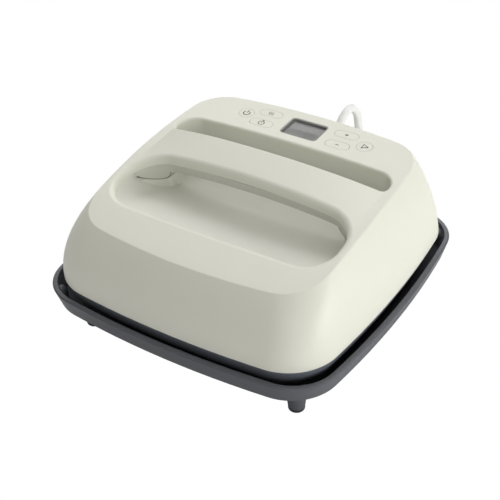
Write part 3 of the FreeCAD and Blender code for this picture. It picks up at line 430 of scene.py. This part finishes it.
def add_world():
    """Even studio light, white where the camera looks past the floor."""
    world = bpy.data.worlds.new("studio")
    scene.world = world
    world.use_nodes = True
    nodes = world.node_tree.nodes
    links = world.node_tree.links
    soft = nodes["Background"]
    soft.inputs["Color"].default_value = (1.0, 1.0, 1.0, 1.0)
    soft.inputs["Strength"].default_value = world_light
    bright = nodes.new("ShaderNodeBackground")
    bright.inputs["Color"].default_value = (1.0, 1.0, 1.0, 1.0)
    bright.inputs["Strength"].default_value = 1.0
    path = nodes.new("ShaderNodeLightPath")
    mix = nodes.new("ShaderNodeMixShader")
    links.new(path.outputs["Is Camera Ray"], mix.inputs[0])
    links.new(soft.outputs[0], mix.inputs[1])
    links.new(bright.outputs[0], mix.inputs[2])
    links.new(mix.outputs[0], nodes["World Output"].inputs["Surface"])


add_camera()
add_world()
add_floor()
add_area_lamp("ceiling_softbox", (-0.3, 0.0, 2.2), 3.0, 3.0, 25.0)
add_area_lamp("rear_softbox", (-0.5, 1.6, 1.6), 2.4, 1.6, 30.0)
add_area_lamp("right_strip", (1.6, 0.15, 0.3), 1.3, 0.5, 14.8)
add_area_lamp("front_fill", (0.9, -1.5, 1.0), 1.6, 1.0, 7.5)


# ---------------------------------------------------------------- mains lead
def coil_route():
    """Control points of the coil: inward on the floor, up, and outward on the upper layer."""
    corner_cut = (3 + math.cos(2 * math.pi / coil_points_per_turn)) / 4
    points = []
    steps = int(2 * coil_turns_each_layer * coil_points_per_turn)
    for step in range(steps + 1):
        turns = step / coil_points_per_turn
        inward = min(turns, 2 * coil_turns_each_layer - turns)
        radius = (coil_outer_turn - coil_pitch * inward) / corner_cut
        angle = math.pi / 2 + 2 * math.pi * turns
        climb = min(1, max(0, (turns - coil_turns_each_layer) / coil_climb_turns + 0.5))
        height = cord_lie + coil_layer_rise * climb * climb * (3 - 2 * climb)
        points.append(coil_centre + Vector((radius * math.cos(angle), radius * math.sin(angle), height)))
    return points


def lead_points():
    """The whole lead's control points, from the strain relief to the plug."""
    points = [Vector(point) * MM for point in lead_route] + coil_route()
    top = points[-1]
    points.append(Vector((coil_centre.x - plug_lead / 2, coil_centre.y + coil_outer_turn, top.z)))
    points.append(Vector((coil_centre.x - plug_lead, coil_centre.y + coil_outer_turn, top.z)))
    return points


def spline_curve(name, points):
    """Smooth open curve with the points as its control points."""
    curve = bpy.data.curves.new(name, "CURVE")
    curve.dimensions = "3D"
    spline = curve.splines.new("NURBS")
    spline.points.add(len(points) - 1)
    for place, point in zip(spline.points, points):
        place.co = (*point, 1.0)
    spline.order_u = 3
    spline.use_endpoint_u = True
    spline.resolution_u = 6
    piece = bpy.data.objects.new(name, curve)
    scene.collection.objects.link(piece)
    return piece


def curve_line(piece):
    """Points along a curve that has no thickness."""
    mesh = bpy.data.meshes.new_from_object(piece)
    line = [vertex.co.copy() for vertex in mesh.vertices]
    bpy.data.meshes.remove(mesh)
    return line


def select_only(piece):
    """Make one piece the active and only selected one."""
    bpy.ops.object.select_all(action="DESELECT")
    piece.select_set(True)
    bpy.context.view_layer.objects.active = piece


def stroke_piece(name, strokes, radius, roundness):
    """Round strokes along open lines, as one mesh."""
    curve = bpy.data.curves.new(name, "CURVE")
    curve.dimensions = "3D"
    for stroke in strokes:
        spline = curve.splines.new("POLY")
        spline.points.add(len(stroke) - 1)
        for place, point in zip(spline.points, stroke):
            place.co = (*point, 1.0)
    curve.bevel_depth = radius
    curve.bevel_resolution = roundness
    curve.use_fill_caps = True
    piece = bpy.data.objects.new(name, curve)
    scene.collection.objects.link(piece)
    select_only(piece)
    bpy.ops.object.convert(target="MESH")
    return piece


def add_lead():
    """The mains lead as a round tube, from the press it leaves to the floor it lies on."""
    lead = spline_curve("mains_lead", lead_points())
    line = curve_line(lead)
    lead.data.bevel_depth = cord_diameter / 2
    lead.data.bevel_resolution = 5
    lead.data.use_fill_caps = True
    select_only(lead)
    bpy.ops.object.convert(target="MESH")
    bpy.ops.object.shade_smooth()
    lead.data.materials.clear()
    lead.data.materials.append(finishes["cord_jacket"])
    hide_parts("cord_tube", "cord_coil")
    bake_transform(lead)


add_lead()


# ---------------------------------------------------------------- symbols on the keys
def arc_points(radius, first, last, middle=(0.0, 0.0), steps=28):
    """Points along an arc between two angles in degrees."""
    angles = [math.radians(first + (last - first) * step / steps) for step in range(steps + 1)]
    return [(middle[0] + radius * math.cos(a), middle[1] + radius * math.sin(a)) for a in angles]


def wave_points(x, reach=2.3, swing=0.45, steps=16):
    """Points up a wavy line, as for rising heat."""
    shares = [step / steps for step in range(steps + 1)]
    return [(x + swing * math.sin(2 * math.pi * share), reach * (2 * share - 1)) for share in shares]


# Each symbol's strokes, in millimetres about the key's middle, on the panel's own plane.
symbols = {
    "power": [arc_points(3.1, 136, 404), [(0.0, 0.8), (0.0, 4.8)]],
    "temperature": [wave_points(-1.9), wave_points(0.0), wave_points(1.9)],
    "timer": [arc_points(2.8, 0, 360), [(0.0, 1.4), (0.0, 0.0)], [(-0.9, 4.4), (0.9, 4.4)],
              [(0.0, 2.8), (0.0, 4.4)]],
    "plus": [[(-1.7, 0.0), (1.7, 0.0)], [(0.0, -1.7), (0.0, 1.7)]],
    "minus": [[(-1.7, 0.0), (1.7, 0.0)]],
    "start": [[(-2.0, -3.1), (3.3, 0.0), (-2.0, 3.1), (-2.0, -3.1), (3.3, 0.0)]],
}
key_places = {
    "power": (-round_key_x, 0.0), "temperature": (-left_pill_x, upper_pill_v),
    "timer": (-left_pill_x, lower_pill_v), "plus": (right_pill_x, upper_pill_v),
    "minus": (right_pill_x, lower_pill_v), "start": (round_key_x, 0.0),
}


def add_symbol(key):
    """Printed line symbol on a key, made as flat rounded strokes that ride with the key."""
    width = symbol_line_widths[key]
    strokes = [[(x * MM, y * MM, 0.0) for x, y in stroke] for stroke in symbols[key]]
    piece = stroke_piece(key + "_symbol", strokes, width / 2, roundness=2)
    x, v = key_places[key]
    piece.scale = (1.0, 1.0, symbol_line_height / width)
    piece.rotation_euler = (panel_tilt, 0.0, 0.0)
    piece.location = panel_middle + Vector((
        x, v * math.cos(panel_tilt), v * math.sin(panel_tilt) + key_face_lift
    ))
    bpy.ops.object.transform_apply(location=True, rotation=True, scale=True)
    bpy.ops.object.shade_smooth_by_angle(angle=math.radians(40))
    finish_piece(piece, "black_plastic", key + "_key", symbol_ink)


for key in symbols:
    add_symbol(key)


# ---------------------------------------------------------------- painted shadow in the seam of the handle's grip
def crown_level(y):
    """Height of the crown's curved surface at a place from front to rear."""
    start_z = panel_middle.z + (crown_start_y - panel_middle.y) * math.tan(panel_tilt)
    centre_y = crown_start_y + crown_radius * math.sin(panel_tilt)
    centre_z = start_z - crown_radius * math.cos(panel_tilt)
    return centre_z + math.sqrt(crown_radius ** 2 - (y - centre_y) ** 2)


def grip_face(x, z):
    """Point on the grip's front face, which leans in below the lip and rounds off at its ends."""
    y = grip_front + max(0.0, lip_bottom - z) * math.tan(grip_lean)
    run = max(0.0, abs(x) - grip_half_width + grip_corner)
    y -= grip_corner - math.sqrt(grip_corner ** 2 - run ** 2)
    return Vector((x, y, z))


def lip_seam(steps=96, reach=105.5 * MM):
    """Points along the seam between the handle's lip and the grip."""
    points = []
    for step in range(steps + 1):
        x = reach * (2 * step / steps - 1)
        y = grip_face(x, lip_bottom).y
        rise = (arch_rise + arch_rise_per_y * y) * (1 - (x / arch_half_span) ** 2)
        points.append(grip_face(x, crown_level(y) + rise - lip_depth - seam_line_drop))
    return points


def add_seam_shadow():
    """Dark fine tube in the joint over the grip: painted shadow of the gap under the lip."""
    piece = stroke_piece("grip_seam_shadow", [lip_seam()], seam_line_radius, roundness=1)
    bpy.ops.object.shade_smooth()
    finish_piece(piece, "shell_plastic", "press", seam_shadow)


add_seam_shadow()


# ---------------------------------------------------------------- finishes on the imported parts
slot_of = {row["node"]: row["material_slot"] for row in frame["record"]["subparts"]}
own_finish = {"lcd_frame": display_bezel, "pocket_liner": bowl_plastic, "handle_grip": shaded_grip_plastic}
for name, node in frame["nodes"].items():
    node.data.materials.clear()
    node.data.materials.append(own_finish.get(name) or finishes[slot_of[name]])
